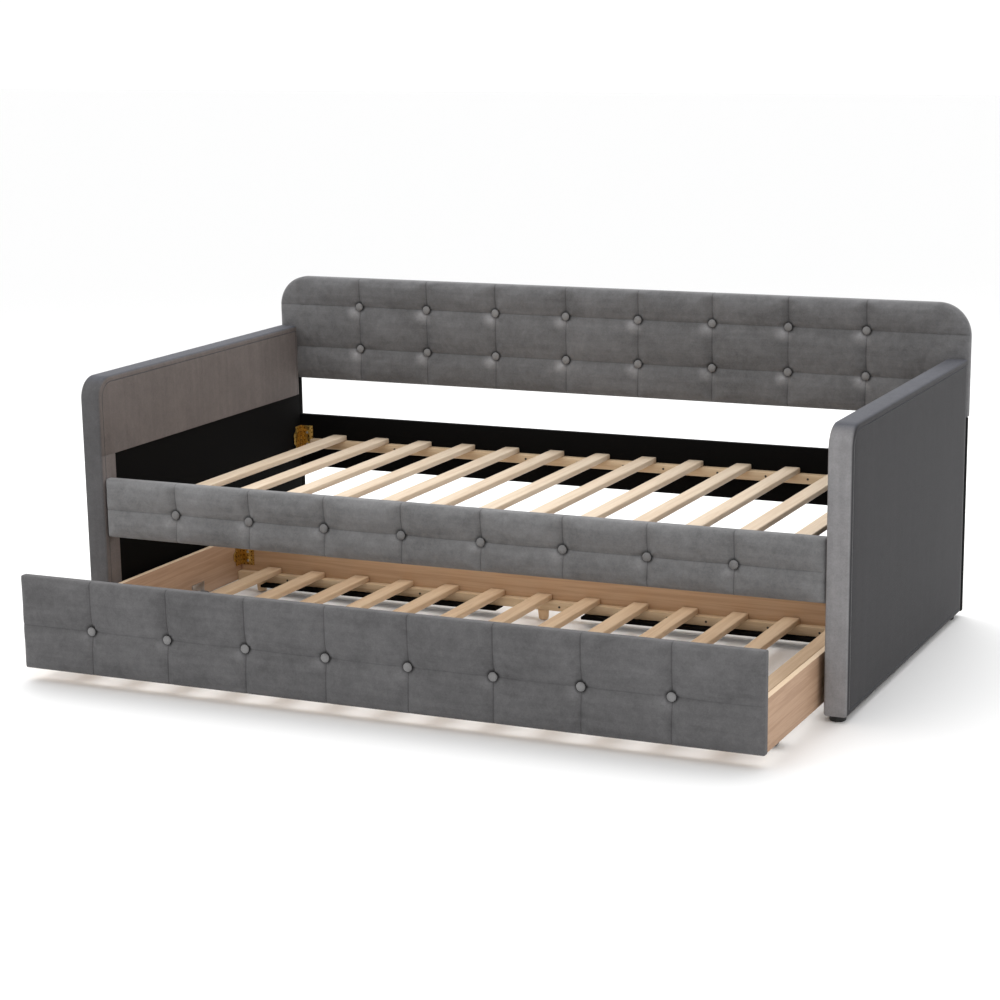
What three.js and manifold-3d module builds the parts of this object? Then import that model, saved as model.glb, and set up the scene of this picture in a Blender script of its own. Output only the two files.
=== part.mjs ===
// An upholstered daybed with a roll-out trundle underneath.
//
// Millimetres. X runs along the bed, Y from the front to the back and Z up from the floor.
// Inside the bed group X = 0 is the middle of the bed, Y = 0 the front of the arms and Z = 0
// the floor. The last lines move the whole bed so that the origin is under the middle of it.

import * as THREE from 'three';
import { mergeVertices } from 'three/addons/utils/BufferGeometryUtils.js';
import Module from 'manifold-3d';

const wasm = await Module();
wasm.setup();

// ---- Driving dimensions -------------------------------------------------------------------

const fitGap = 0.3;                // left between two pieces that touch
const panelGap = 0.6;              // left at each end of a rail that fits between the arms
const roundSegments = 32;          // facets round a foot or a peg
const arcSegments = 12;            // facets in a quarter round

const bedWidth = 2100;             // over both arms
const armDepth = 1070;             // front of the arm to the face of the backrest
const armThickness = 59;
const armTop = 709;
const armCornerRadius = 58;
const armCoverThickness = 9.5;     // padding and velvet over the arm's frame
const liningTop = 502;             // the black lining covers the arm's inner face below this
const liningFront = 60;            // and behind this
const liningRecess = 1.5;

const footHeight = 15;
const footRadius = 20;
const footInset = 30;              // foot's centre from the outer face of the arm
const footFromFront = 26;
const footFromBack = 34;

const backrestTop = 856;
const backrestBottom = 550;
const backrestThickness = 28;
const backrestPadDepth = 14;
const backrestWrap = 6;            // padding round the edge of the backrest board
const backrestCornerRadius = 90;
const uprightThickness = 20;
const uprightClearOfRail = 2;

const railBottom = 283;
const railHeight = 158;
const frontRailSetback = 4;        // front rail's face behind the front of the arms
const frontRailThickness = 26;
const panelPadDepth = 9.5;         // padding on the face of the front rail and the trundle's front
const panelWrap = 4;               // padding round their edges
const backRailThickness = 18;
const backRailForward = 4;         // back rail's face in front of the backrest's face

const ledgerTop = 370;
const ledgerHeight = 26;
const ledgerThickness = 25;
const slatCount = 13;
const slatPitch = 142;
const slatWidth = 45;
const slatThickness = 16;
const slatEndGap = 4;

const bracketWidth = 43;
const bracketHeight = 74;
const bracketThickness = 2.5;
const bracketBottom = 333;
const bracketToLedger = 2;
const screwRadius = 4;
const screwHeight = 1.2;

const trundlePull = 412;           // how far the trundle is rolled out at rest
const trundleFrontBottom = 32;
const trundleFrontHeight = 241;
const trundleFrontThickness = 24;
const trundleFrontSideGap = 9;     // between the padded front and each arm
const trundleBoxSideGap = 15;      // between the trundle's sides and the arms
const trundleBackGap = 3;          // closed trundle's back edge to the face of the backrest
const trundlePanelThickness = 15;
const trundleBoxBottom = 30;
const trundleBoxHeight = 126;

const trundleLedgerHeight = 26;
const trundleLedgerThickness = 23;
const trundleSlatThickness = 17;
const trundleSlatNotch = 1;        // how deep a slat sits in its ledgers
const trundleSlatPitch = 141.5;
const trundleBracketBottom = 72;
const trundleBracketHeight = 54;

const runnerThickness = 8;
const runnerWidth = 52;
const runnerInnerEnd = 127;        // inner end of each runner from the middle of the trundle
const runnerLength = 743;
const pegRadius = 16;
const pegTipRadius = 13;
const pegFloorGap = 3;
const pegToRunner = 2;

const wheelRadius = 25;
const wheelWidth = 20;
const wheelChamfer = 2.5;
const wheelSegments = 48;
const axleRadius = 4;
const axleRunningGap = 0.08;       // radial
const wheelSideGap = 0.6;
const casterPlateThickness = 3;
const casterPlateWidth = 62;
const casterPlateBottom = 31;
const casterPlateHeight = 38;
const casterBossRadius = 8;
const casterBossLength = 5;
const axleHeadRadius = 7;
const axleHeadLength = 2.5;
const casterFromFront = 190;       // axle from the trundle's front face
const casterFromBack = 260;        // axle from the trundle's back face

// ---- Materials ----------------------------------------------------------------------------

const material = (color, roughness, metalness = 0) =>
  new THREE.MeshStandardMaterial({ color, roughness, metalness });

const velvet = material(0x6d6c6e, 0.85);
const blackLining = material(0x11100f, 0.9);
const hiddenBoard = material(0xa88a63, 0.8);
const pine = material(0xe0c9a6, 0.7);
const laminate = material(0xc29a74, 0.55);
const brassPlate = material(0xa87a2c, 0.35, 0.9);
const blackPlastic = material(0x151515, 0.5);
const greyNylon = material(0x4a4a4c, 0.55);
const zincSteel = material(0x9a9c9f, 0.35, 0.9);

// ---- Making shapes ------------------------------------------------------------------------

const block = ({ x, y, z }) =>
  new THREE.BoxGeometry(x[1] - x[0], y[1] - y[0], z[1] - z[0])
    .translate((x[0] + x[1]) / 2, (y[0] + y[1]) / 2, (z[0] + z[1]) / 2);

// A manifold-3d solid of a closed geometry.
function solid(geometry) {
  const bare = geometry.clone();
  bare.deleteAttribute('normal');
  bare.deleteAttribute('uv');
  const merged = mergeVertices(bare);
  return new wasm.Manifold(new wasm.Mesh({
    numProp: 3,
    vertProperties: new Float32Array(merged.attributes.position.array),
    triVerts: new Uint32Array(merged.index.array),
  }));
}

function geometryOf(manifold) {
  const { vertProperties, triVerts } = manifold.getMesh();
  const geometry = new THREE.BufferGeometry();
  geometry.setAttribute('position', new THREE.BufferAttribute(vertProperties, 3));
  geometry.setIndex(new THREE.BufferAttribute(triVerts, 1));
  geometry.computeVertexNormals();
  return geometry;
}

const cut = (geometry, ...tools) =>
  geometryOf(tools.reduce((left, tool) => left.subtract(solid(tool)), solid(geometry)));

const join = (...geometries) =>
  geometryOf(geometries.map(solid).reduce((sum, next) => sum.add(next)));

// Turns a geometry over in X or Y, with its faces still pointing outwards.
function mirrored(geometry, axis) {
  const flipped = geometry.index ? geometry.toNonIndexed() : geometry.clone();
  const scale = axis === 'x' ? [-1, 1, 1] : [1, -1, 1];
  flipped.scale(...scale);
  const position = flipped.attributes.position;
  for (let i = 0; i < position.count; i += 3) {
    const second = new THREE.Vector3().fromBufferAttribute(position, i + 1);
    const third = new THREE.Vector3().fromBufferAttribute(position, i + 2);
    position.setXYZ(i + 1, third.x, third.y, third.z);
    position.setXYZ(i + 2, second.x, second.y, second.z);
  }
  flipped.computeVertexNormals();
  return flipped;
}

// A round solid about the Z axis, from [radius, height] points that start and end on the axis.
const turnedAboutZ = (points, segments) =>
  new THREE.LatheGeometry(points.map(([radius, height]) => new THREE.Vector2(radius, height)), segments)
    .rotateX(Math.PI / 2);

// A round solid about the X axis, from [radius, place along X] points.
const turnedAboutX = (points, segments) =>
  new THREE.LatheGeometry(points.map(([radius, along]) => new THREE.Vector2(radius, along)), segments)
    .rotateZ(-Math.PI / 2);

const daybed = new THREE.Group();
const bed = new THREE.Group();
daybed.add(bed);

function addPiece(group, name, geometry, pieceMaterial, position = [0, 0, 0]) {
  const mesh = new THREE.Mesh(geometry, pieceMaterial);
  mesh.name = name;
  mesh.position.set(...position);
  group.add(mesh);
}

// ---- Arms ---------------------------------------------------------------------------------
// Each arm is a board wrapped in padding and velvet, with a black lining low on its inner face.

const armOuter = bedWidth / 2;
const armInner = armOuter - armThickness;

// The arm's side profile, drawn on Y and Z and given its thickness along X.
function armSlab(inset, inner, outer, openBy) {
  const front = inset;
  const back = armDepth + openBy;
  const bottom = footHeight - openBy;
  const top = armTop - inset;
  const radius = armCornerRadius - inset;
  const profile = new THREE.Shape();
  profile.moveTo(front, bottom);
  profile.lineTo(back, bottom);
  profile.lineTo(back, top);
  profile.lineTo(front + radius, top);
  profile.absarc(front + radius, top - radius, radius, Math.PI / 2, Math.PI, false);
  profile.closePath();
  const slab = new THREE.ExtrudeGeometry(profile,
    { depth: outer - inner, bevelEnabled: false, curveSegments: arcSegments });
  const alongX = new THREE.Matrix4().makeBasis(
    new THREE.Vector3(0, 1, 0), new THREE.Vector3(0, 0, 1), new THREE.Vector3(1, 0, 0));
  return slab.applyMatrix4(alongX).translate(inner, 0, 0);
}

const boardInner = armInner + armCoverThickness;
const boardOuter = armOuter - armCoverThickness;
const openEnd = 20;                // how far a cutting shape runs past an open face

const armFrame = armSlab(armCoverThickness + fitGap, boardInner + fitGap, boardOuter - fitGap, 0);
const armCover = cut(
  armSlab(0, armInner, armOuter, 0),
  armSlab(armCoverThickness, boardInner, boardOuter, openEnd),
  block({
    x: [armInner - openEnd, boardInner + openEnd],
    y: [liningFront, armDepth + openEnd],
    z: [footHeight - openEnd, liningTop],
  }));
const armLining = block({
  x: [armInner + liningRecess, boardInner],
  y: [liningFront + fitGap, armDepth],
  z: [footHeight, liningTop - fitGap],
});

const onBothSides = (name, geometry, pieceMaterial) => {
  addPiece(bed, `right_${name}`, geometry, pieceMaterial);
  addPiece(bed, `left_${name}`, mirrored(geometry, 'x'), pieceMaterial);
};
onBothSides('arm_frame', armFrame, hiddenBoard);
onBothSides('arm_cover', armCover, velvet);
onBothSides('arm_lining', armLining, blackLining);

// ---- Feet ---------------------------------------------------------------------------------

const footEase = 2;
const foot = turnedAboutZ([
  [0, 0],
  [footRadius - footEase, 0],
  [footRadius, footEase],
  [footRadius, footHeight - footEase - fitGap],
  [footRadius - footEase, footHeight - fitGap],
  [0, footHeight - fitGap],
], roundSegments);
for (const [side, sign] of [['left', -1], ['right', 1]]) {
  const x = sign * (armOuter - footInset);
  addPiece(bed, `${side}_front_foot`, foot, blackPlastic, [x, footFromFront, 0]);
  addPiece(bed, `${side}_back_foot`, foot, blackPlastic, [x, armDepth - footFromBack, 0]);
}

// ---- Backrest -----------------------------------------------------------------------------
// A board with rounded top corners in a padded cover, on an upright behind each arm.

const backrestFace = armDepth + fitGap;
const backrestBack = backrestFace + backrestThickness;

function backrestSlab(inset, front, back) {
  const right = armOuter - inset;
  const bottom = backrestBottom + inset;
  const top = backrestTop - inset;
  const radius = backrestCornerRadius - inset;
  const outline = new THREE.Shape();
  outline.moveTo(-right, bottom);
  outline.lineTo(right, bottom);
  outline.lineTo(right, top - radius);
  outline.absarc(right - radius, top - radius, radius, 0, Math.PI / 2, false);
  outline.lineTo(-right + radius, top);
  outline.absarc(-right + radius, top - radius, radius, Math.PI / 2, Math.PI, false);
  outline.closePath();
  return new THREE.ExtrudeGeometry(outline,
    { depth: back - front, bevelEnabled: false, curveSegments: arcSegments })
    .rotateX(Math.PI / 2).translate(0, back, 0);
}

const backrestBoardFront = backrestFace + backrestPadDepth;
addPiece(bed, 'backrest_board',
  backrestSlab(backrestWrap + fitGap, backrestBoardFront + fitGap, backrestBack), hiddenBoard);
addPiece(bed, 'backrest_pad', cut(
  backrestSlab(0, backrestFace, backrestBack),
  backrestSlab(backrestWrap, backrestBoardFront, backrestBack + openEnd)), velvet);
onBothSides('backrest_upright', block({
  x: [armInner + uprightClearOfRail, armOuter],
  y: [backrestFace, backrestFace + uprightThickness],
  z: [footHeight, backrestBottom - fitGap],
}), velvet);

// ---- Rails and ledgers --------------------------------------------------------------------

const railTop = railBottom + railHeight;
const railEnd = armInner - panelGap;
const frontRailFace = frontRailSetback;
const frontRailBack = frontRailFace + frontRailThickness;
const backRailFace = armDepth - backRailForward;

// A board with a padded cover over its face and its four edges. Its back is open.
function addPaddedPanel(group, name, { end, front, back, bottom, top }) {
  const slab = (inset, from, to) => block({
    x: [-end + inset, end - inset],
    y: [from, to],
    z: [bottom + inset, top - inset],
  });
  const boardFront = front + panelPadDepth;
  addPiece(group, name, slab(panelWrap + fitGap, boardFront + fitGap, back), hiddenBoard);
  addPiece(group, `${name}_pad`,
    cut(slab(0, front, back), slab(panelWrap, boardFront, back + openEnd)), velvet);
}

addPaddedPanel(bed, 'front_rail', {
  end: railEnd, front: frontRailFace, back: frontRailBack, bottom: railBottom, top: railTop,
});
addPiece(bed, 'back_rail', block({
  x: [-railEnd, railEnd],
  y: [backRailFace, backRailFace + backRailThickness],
  z: [railBottom, railTop],
}), blackLining);

const ledgerEnd = railEnd - bracketWidth - bracketToLedger;
const ledgerBlock = (front) => block({
  x: [-ledgerEnd, ledgerEnd],
  y: [front, front + ledgerThickness],
  z: [ledgerTop - ledgerHeight, ledgerTop],
});
addPiece(bed, 'front_ledger', ledgerBlock(frontRailBack + fitGap), pine);
addPiece(bed, 'back_ledger', ledgerBlock(backRailFace - fitGap - ledgerThickness), pine);

// ---- Bed slats ----------------------------------------------------------------------------

const slatFront = frontRailBack + slatEndGap;
const slatBack = backRailFace - slatEndGap;
const slatPlace = (index, pitch) => (index - (slatCount - 1) / 2) * pitch;
const bedSlat = block({
  x: [-slatWidth / 2, slatWidth / 2],
  y: [slatFront, slatBack],
  z: [ledgerTop + fitGap, ledgerTop + slatThickness],
});
for (let i = 0; i < slatCount; i += 1) {
  addPiece(bed, `bed_slat_${i + 1}`, bedSlat, pine, [slatPlace(i, slatPitch), 0, 0]);
}

// ---- Corner brackets ----------------------------------------------------------------------
// A right-angled plate with a leaf on each of two walls that meet, and screw heads on both
// leaves. It is drawn for the corner at the left end of the back, with the corner at X = Y = 0.
// The leaf on the end wall ends in a stepped hook.

function cornerBracket(height) {
  const across = bracketWidth;
  const plate = bracketThickness;
  const step = across / 4;
  const outline = new THREE.Shape();
  outline.moveTo(0, 0);
  outline.lineTo(across - step, 0);
  outline.lineTo(across - step, height * 0.2);
  outline.lineTo(across, height * 0.32);
  outline.lineTo(across, height * 0.68);
  outline.lineTo(across - step, height * 0.8);
  outline.lineTo(across - step, height);
  outline.lineTo(0, height);
  outline.closePath();
  const hookLeaf = new THREE.ExtrudeGeometry(outline, { depth: plate, bevelEnabled: false });
  const towardsFront = new THREE.Matrix4().makeBasis(
    new THREE.Vector3(0, -1, 0), new THREE.Vector3(0, 0, 1), new THREE.Vector3(-1, 0, 0));
  hookLeaf.applyMatrix4(towardsFront).translate(plate, 0, 0);
  const flatLeaf = block({ x: [0, across], y: [-plate, 0], z: [0, height] });
  const screws = [];
  for (const level of [0.25, 0.75]) {
    const onFlat = new THREE.CylinderGeometry(screwRadius * 0.7, screwRadius, 2 * screwHeight, 12);
    onFlat.rotateX(Math.PI).translate(across * 0.6, -plate, height * level);
    screws.push(onFlat);
    const onHook = new THREE.CylinderGeometry(screwRadius * 0.7, screwRadius, 2 * screwHeight, 12);
    onHook.rotateZ(-Math.PI / 2).translate(plate, -across * 0.5, height * level);
    screws.push(onHook);
  }
  return join(hookLeaf, flatLeaf, ...screws);
}

function addBrackets(group, name, bracket, { side, front, back, bottom }) {
  const corners = [
    ['left_back', bracket, -side, back],
    ['right_back', mirrored(bracket, 'x'), side, back],
    ['left_front', mirrored(bracket, 'y'), -side, front],
    ['right_front', mirrored(mirrored(bracket, 'x'), 'y'), side, front],
  ];
  for (const [corner, geometry, x, y] of corners) {
    addPiece(group, `${name}_${corner}`, geometry, brassPlate, [x, y, bottom]);
  }
}

addBrackets(bed, 'bed_bracket', cornerBracket(bracketHeight), {
  side: railEnd,
  front: frontRailBack + fitGap,
  back: backRailFace - fitGap,
  bottom: bracketBottom,
});

// ---- Trundle box --------------------------------------------------------------------------
// Drawn as it stands when it is rolled right in, with its face in line with the front rail's.

const trundle = new THREE.Group();
trundle.position.y = -trundlePull;
bed.add(trundle);

const trundleFace = frontRailFace;
const trundleFrontBack = trundleFace + trundleFrontThickness;
const trundleBack = armDepth - trundleBackGap;
const trundleFrontEnd = armInner - trundleFrontSideGap;
const trundleFrontTop = trundleFrontBottom + trundleFrontHeight;
const trundleSideOuter = armInner - trundleBoxSideGap;
const trundleSideInner = trundleSideOuter - trundlePanelThickness;
const trundleBoxTop = trundleBoxBottom + trundleBoxHeight;
const trundleBackInner = trundleBack - trundlePanelThickness;

addPaddedPanel(trundle, 'trundle_front', {
  end: trundleFrontEnd,
  front: trundleFace,
  back: trundleFrontBack,
  bottom: trundleFrontBottom,
  top: trundleFrontTop,
});

const trundleSide = block({
  x: [trundleSideInner, trundleSideOuter],
  y: [trundleFrontBack + fitGap, trundleBack],
  z: [trundleBoxBottom, trundleBoxTop],
});
addPiece(trundle, 'trundle_right_side', trundleSide, laminate);
addPiece(trundle, 'trundle_left_side', mirrored(trundleSide, 'x'), laminate);
addPiece(trundle, 'trundle_back', block({
  x: [-trundleSideInner + fitGap, trundleSideInner - fitGap],
  y: [trundleBackInner, trundleBack],
  z: [trundleBoxBottom, trundleBoxTop],
}), laminate);

// The slats lie in shallow notches across two ledgers.
const trundleLedgerTop = trundleBoxBottom + trundleLedgerHeight;
const trundleSlatBottom = trundleLedgerTop - trundleSlatNotch;
const trundleInsideFront = trundleFrontBack + fitGap;
const trundleInsideBack = trundleBackInner - fitGap;
const trundleLedger = (front) => block({
  x: [-trundleSideInner + fitGap, trundleSideInner - fitGap],
  y: [front, front + trundleLedgerThickness],
  z: [trundleBoxBottom, trundleLedgerTop],
});
const trundleBackLedgerFront = trundleInsideBack - trundleLedgerThickness;
const trundleSlats = [];
for (let i = 0; i < slatCount; i += 1) {
  const place = slatPlace(i, trundleSlatPitch);
  trundleSlats.push(block({
    x: [place - slatWidth / 2, place + slatWidth / 2],
    y: [trundleInsideFront + slatEndGap, trundleInsideBack - slatEndGap],
    z: [trundleSlatBottom, trundleSlatBottom + trundleSlatThickness],
  }));
}
addPiece(trundle, 'trundle_slat_deck', join(
  trundleLedger(trundleInsideFront), trundleLedger(trundleBackLedgerFront), ...trundleSlats), pine);

addBrackets(trundle, 'trundle_bracket', cornerBracket(trundleBracketHeight), {
  side: trundleSideInner - fitGap,
  front: trundleFrontBack + fitGap,
  back: trundleBackInner - fitGap,
  bottom: trundleBracketBottom + fitGap,
});

// ---- Runner boards and pegs ---------------------------------------------------------------
// Two black boards and three short tapered pegs are fixed under the back ledger.

const runnerTop = trundleBoxBottom - fitGap;
const runner = block({
  x: [runnerInnerEnd, runnerInnerEnd + runnerLength],
  y: [trundleInsideBack - runnerWidth, trundleInsideBack],
  z: [runnerTop - runnerThickness, runnerTop],
});
addPiece(trundle, 'trundle_right_runner', runner, blackPlastic);
addPiece(trundle, 'trundle_left_runner', mirrored(runner, 'x'), blackPlastic);

const peg = turnedAboutZ([
  [0, pegFloorGap],
  [pegTipRadius, pegFloorGap],
  [pegRadius, runnerTop],
  [0, runnerTop],
], roundSegments);
const pegRow = trundleBackLedgerFront + trundleLedgerThickness / 2;
const pegOut = runnerInnerEnd + runnerLength + pegToRunner + pegRadius;
for (const [name, x] of [['left', -pegOut], ['middle', 0], ['right', pegOut]]) {
  addPiece(trundle, `trundle_${name}_peg`, peg, pine, [x, pegRow, 0]);
}

// ---- Casters ------------------------------------------------------------------------------
// A plate on the inner face of each side carries a fixed axle, and the wheel turns on it.
// It is drawn for the right side, with X measured inwards from the side's inner face.

const wheelNear = casterPlateThickness + casterBossLength + wheelSideGap;
const wheelFar = wheelNear + wheelWidth;
const axleEnd = wheelFar + wheelSideGap + axleHeadLength;
const axleOverlap = 1;             // how far joined shapes run into each other

const casterMount = join(
  block({
    x: [0, casterPlateThickness],
    y: [-casterPlateWidth / 2, casterPlateWidth / 2],
    z: [casterPlateBottom - wheelRadius, casterPlateBottom - wheelRadius + casterPlateHeight],
  }),
  block({
    x: [0, casterPlateThickness],
    y: [-casterBossRadius, casterBossRadius],
    z: [0, casterPlateBottom - wheelRadius + axleOverlap],
  }),
  turnedAboutX([
    [0, 0],
    [casterBossRadius, 0],
    [casterBossRadius, casterPlateThickness + casterBossLength],
    [axleRadius, casterPlateThickness + casterBossLength],
    [axleRadius, wheelFar + wheelSideGap],
    [axleHeadRadius, wheelFar + wheelSideGap],
    [axleHeadRadius, axleEnd],
    [0, axleEnd],
  ], wheelSegments));

const wheelBore = axleRadius + axleRunningGap;
const wheel = turnedAboutX([
  [wheelBore, wheelNear],
  [wheelRadius - wheelChamfer, wheelNear],
  [wheelRadius, wheelNear + wheelChamfer],
  [wheelRadius, wheelFar - wheelChamfer],
  [wheelRadius - wheelChamfer, wheelFar],
  [wheelBore, wheelFar],
  [wheelBore, wheelNear],
], wheelSegments);

const casterWall = trundleSideInner - fitGap;
const casterRows = [
  ['front', trundleFace + casterFromFront],
  ['back', trundleBack - casterFromBack],
];
for (const [row, y] of casterRows) {
  for (const [side, sign] of [['left', -1], ['right', 1]]) {
    const inwards = (geometry) => (sign > 0 ? mirrored(geometry, 'x') : geometry);
    const place = [sign * casterWall, y, wheelRadius];
    addPiece(trundle, `${side}_${row}_caster_mount`, inwards(casterMount), zincSteel, place);
    addPiece(trundle, `${side}_${row}_wheel`, inwards(wheel), greyNylon, place);
  }
}

// ---- Origin -------------------------------------------------------------------------------
// The middle of the floor under the bed and its rolled-out trundle.

bed.position.y = -(trundleFace - trundlePull + backrestBack) / 2;

export default daybed;
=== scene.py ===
import bmesh
import bpy
import math
from mathutils import Matrix, Vector


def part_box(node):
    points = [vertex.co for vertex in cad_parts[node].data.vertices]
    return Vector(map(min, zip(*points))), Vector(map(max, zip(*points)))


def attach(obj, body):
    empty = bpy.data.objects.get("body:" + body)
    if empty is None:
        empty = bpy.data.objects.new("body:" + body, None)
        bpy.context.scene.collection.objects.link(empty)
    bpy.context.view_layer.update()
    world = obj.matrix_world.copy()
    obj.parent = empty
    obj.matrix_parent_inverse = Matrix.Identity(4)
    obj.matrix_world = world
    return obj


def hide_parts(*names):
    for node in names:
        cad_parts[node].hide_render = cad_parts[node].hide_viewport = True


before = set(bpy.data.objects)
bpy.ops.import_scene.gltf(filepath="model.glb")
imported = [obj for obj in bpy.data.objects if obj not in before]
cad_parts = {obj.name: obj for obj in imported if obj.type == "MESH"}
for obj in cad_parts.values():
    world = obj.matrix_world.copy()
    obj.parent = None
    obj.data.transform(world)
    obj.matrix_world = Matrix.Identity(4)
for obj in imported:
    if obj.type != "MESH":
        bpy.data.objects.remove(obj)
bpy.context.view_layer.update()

# ---- Camera -------------------------------------------------------------------------------
# A long lens stands in front of the bed and to the right of it, and looks down at it a little.

camera_place = Vector((2.6148, -5.6741, 1.7087))
camera_turn = math.radians(24.56)
camera_drop = math.radians(13.64)
camera_roll = math.radians(-0.80)

sight = Vector((-math.sin(camera_turn) * math.cos(camera_drop),
                math.cos(camera_turn) * math.cos(camera_drop),
                -math.sin(camera_drop)))
level_right = Vector((math.cos(camera_turn), math.sin(camera_turn), 0))
level_up = level_right.cross(sight)
right = math.cos(camera_roll) * level_right + math.sin(camera_roll) * level_up
up = -math.sin(camera_roll) * level_right + math.cos(camera_roll) * level_up

camera_data = bpy.data.cameras.new("camera")
camera_data.sensor_width = 36
camera_data.lens = 88.116
camera_data.shift_x = -0.0075
camera_data.shift_y = 0.0739
camera = bpy.data.objects.new("camera", camera_data)
bpy.context.scene.collection.objects.link(camera)
camera.matrix_world = Matrix.Translation(camera_place) @ Matrix(
    (right, up, -sight)).transposed().to_4x4()
bpy.context.scene.camera = camera

# ---- Studio -------------------------------------------------------------------------------
# A wide pale floor in a white surround, lit by a broad soft light overhead and a little behind
# and by a weaker one from the front left.

def studio_surface(name, colour, roughness):
    """A surface of one plain pale colour for the studio."""
    mat = bpy.data.materials.new(name)
    mat.use_nodes = True
    shader = mat.node_tree.nodes["Principled BSDF"]
    shader.inputs["Base Color"].default_value = (*colour, 1)
    shader.inputs["Roughness"].default_value = roughness
    return mat


def deselect():
    for item in bpy.context.selected_objects:
        item.select_set(False)


deselect()
bpy.ops.mesh.primitive_plane_add(size=60, location=(0, 0, -0.0005))
floor = bpy.context.object
floor.name = "studio_floor"
bpy.ops.object.transform_apply(location=True, rotation=True, scale=True)
floor.data.materials.append(studio_surface("studio_floor", (0.93, 0.93, 0.93), 0.75))

world = bpy.data.worlds.new("studio")
world.use_nodes = True
world.node_tree.nodes["Background"].inputs["Color"].default_value = (1, 1, 1, 1)
world.node_tree.nodes["Background"].inputs["Strength"].default_value = 1.06
bpy.context.scene.world = world
bpy.context.scene.view_settings.view_transform = "Standard"


def soft_light(name, place, aim, width, height, watts):
    data = bpy.data.lights.new(name, "AREA")
    data.shape = "RECTANGLE"
    data.size = width
    data.size_y = height
    data.energy = watts
    light = bpy.data.objects.new(name, data)
    bpy.context.scene.collection.objects.link(light)
    light.location = place
    light.rotation_mode = "QUATERNION"
    light.rotation_quaternion = (Vector(aim) - Vector(place)).to_track_quat("-Z", "Y")


soft_light("overhead", (-0.7, 1.5, 3.4), (0, 0, 0.3), 5.5, 4.5, 135)
soft_light("front_left", (-3.4, -4.2, 2.4), (0, 0, 0.4), 2.4, 2.0, 22)

# ---- Arms ---------------------------------------------------------------------------------
# Two flat slabs of board with thin padding under grey velvet. A strip of velvet runs round
# the front and top edges and is sewn to the side pieces, and black lining is let in low down
# on the inner side, where the mattress hides it.

def new_group(name, inputs, outputs):
    """A shader node group with named sockets, and its input and output nodes."""
    group = bpy.data.node_groups.new(name, "ShaderNodeTree")
    for socket, kind, value in inputs:
        made = group.interface.new_socket(socket, in_out="INPUT", socket_type=kind)
        if value is not None:
            made.default_value = value
    for socket, kind in outputs:
        group.interface.new_socket(socket, in_out="OUTPUT", socket_type=kind)
    return group, group.nodes.new("NodeGroupInput"), group.nodes.new("NodeGroupOutput")


def add_node(tree, kind, links=(), **settings):
    """A node with its settings, and each input set to a value or linked to a socket."""
    node = tree.nodes.new(kind)
    for key, value in settings.items():
        setattr(node, key, value)
    for socket, source in dict(links).items():
        if isinstance(source, bpy.types.NodeSocket):
            tree.links.new(source, node.inputs[socket])
        else:
            node.inputs[socket].default_value = source
    return node


def calc(tree, operation, first, second=0.0, third=0.0):
    """One step of arithmetic in a shader."""
    return add_node(tree, "ShaderNodeMath", {0: first, 1: second, 2: third},
                    operation=operation).outputs[0]


def noise(tree, place, scale, detail, roughness, distortion=0.0):
    return add_node(tree, "ShaderNodeTexNoise", {
        "Vector": place, "Scale": scale, "Detail": detail, "Roughness": roughness,
        "Distortion": distortion}).outputs["Fac"]


def stretch(tree, place, scale):
    """A place made longer or shorter along each axis, so that a pattern runs along one."""
    return add_node(tree, "ShaderNodeVectorMath", {0: place, 1: scale},
                    operation="MULTIPLY").outputs[0]


def brighten(tree, colour, amount):
    return add_node(tree, "ShaderNodeVectorMath", {0: colour, "Scale": amount},
                    operation="SCALE").outputs[0]


def blend_colours(tree, amount, first, second):
    mixed = tree.nodes.new("ShaderNodeMix")
    mixed.data_type = "RGBA"
    for socket, source in ((0, amount), (6, first), (7, second)):
        tree.links.new(source, mixed.inputs[socket])
    return mixed.outputs[2]


def place_group(tree, group, values):
    """A node group set in a material with its own values."""
    node = tree.nodes.new("ShaderNodeGroup")
    node.node_tree = group
    for socket, value in values.items():
        node.inputs[socket].default_value = value
    return node


def new_finish(name):
    mat = bpy.data.materials.new(name)
    mat.use_nodes = True
    return mat, mat.node_tree, mat.node_tree.nodes["Principled BSDF"]


def raise_surface(tree, shader, height, strength, distance):
    bump = add_node(tree, "ShaderNodeBump", {
        "Height": height, "Strength": strength, "Distance": distance})
    tree.links.new(bump.outputs["Normal"], shader.inputs["Normal"])


FLOAT, COLOUR, VECTOR = "NodeSocketFloat", "NodeSocketColor", "NodeSocketVector"


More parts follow.
